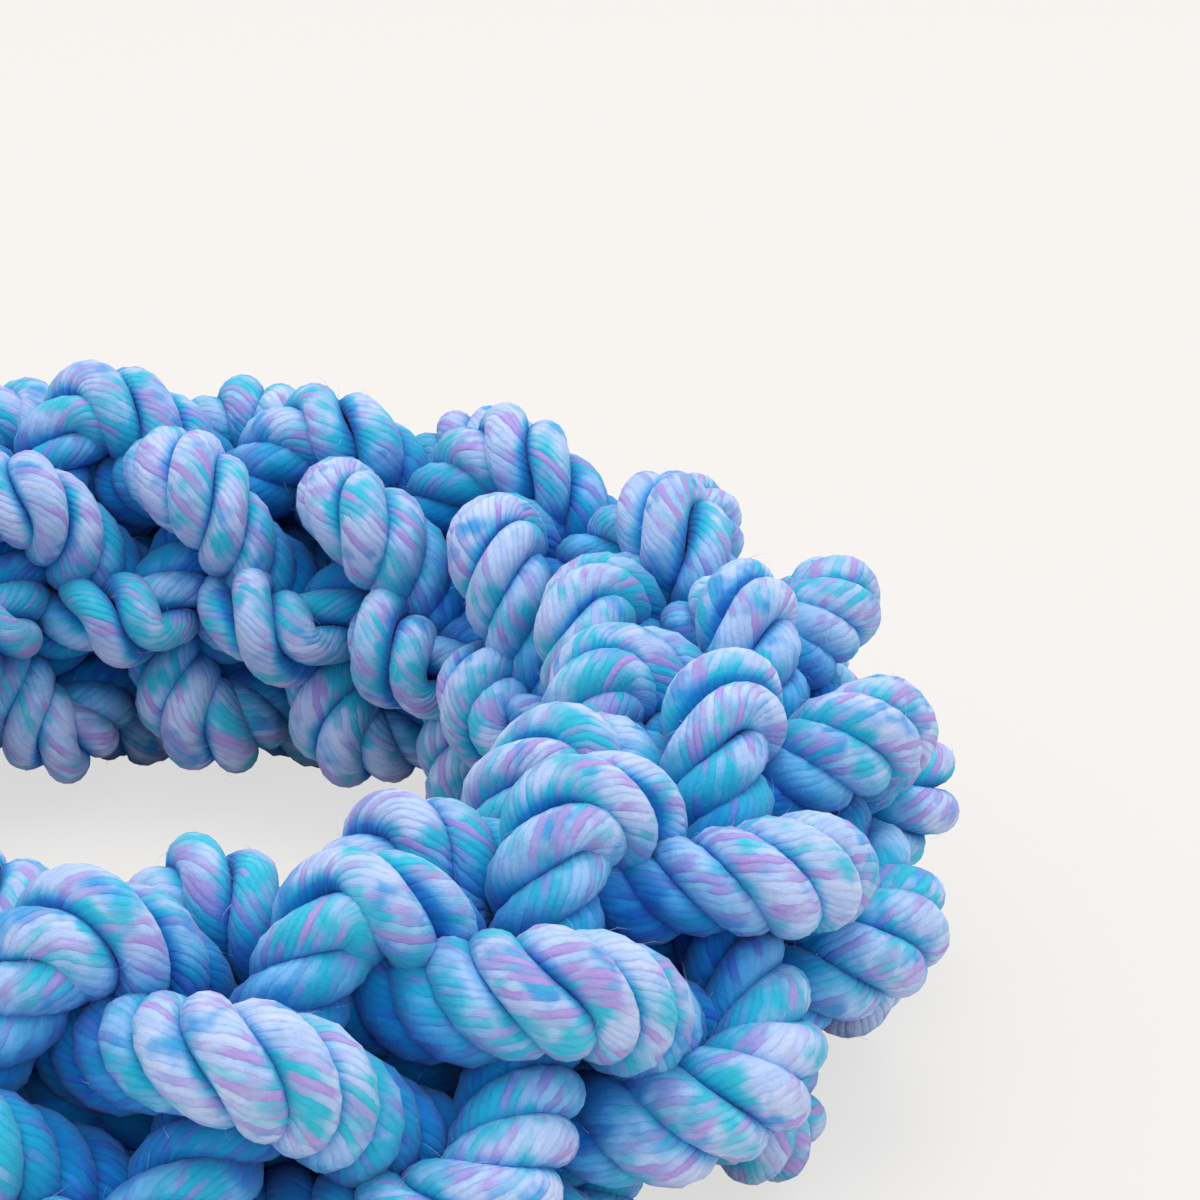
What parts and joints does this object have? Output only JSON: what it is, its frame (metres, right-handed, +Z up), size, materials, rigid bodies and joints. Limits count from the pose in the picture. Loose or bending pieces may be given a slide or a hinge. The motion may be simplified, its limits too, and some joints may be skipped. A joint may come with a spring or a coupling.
{
  "type": "rope dog toy ring",
  "caption": "Chunky ring dog toy plaited as a round braid of soft blue cotton ropes over a heart rope, with an open centre to grip.",
  "frame": {"origin": "on the floor under the middle of the ring's hole", "axes": "+Z up through the hole; the ring lies flat in X and Y, and the picture is taken from -Y"},
  "size_m": [0.1788, 0.1788, 0.0478],
  "materials": {
    "rope": "matte",
    "heart": "matte"
  },
  "bodies": {
    "root": {"braid_rope_a1": "rope", "braid_rope_a2": "rope", "braid_rope_a3": "rope", "braid_rope_a4": "rope", "braid_rope_b1": "rope", "braid_rope_b2": "rope", "braid_rope_b3": "rope", "braid_rope_b4": "rope", "heart_rope": "heart"}
  },
  "joints": []
}
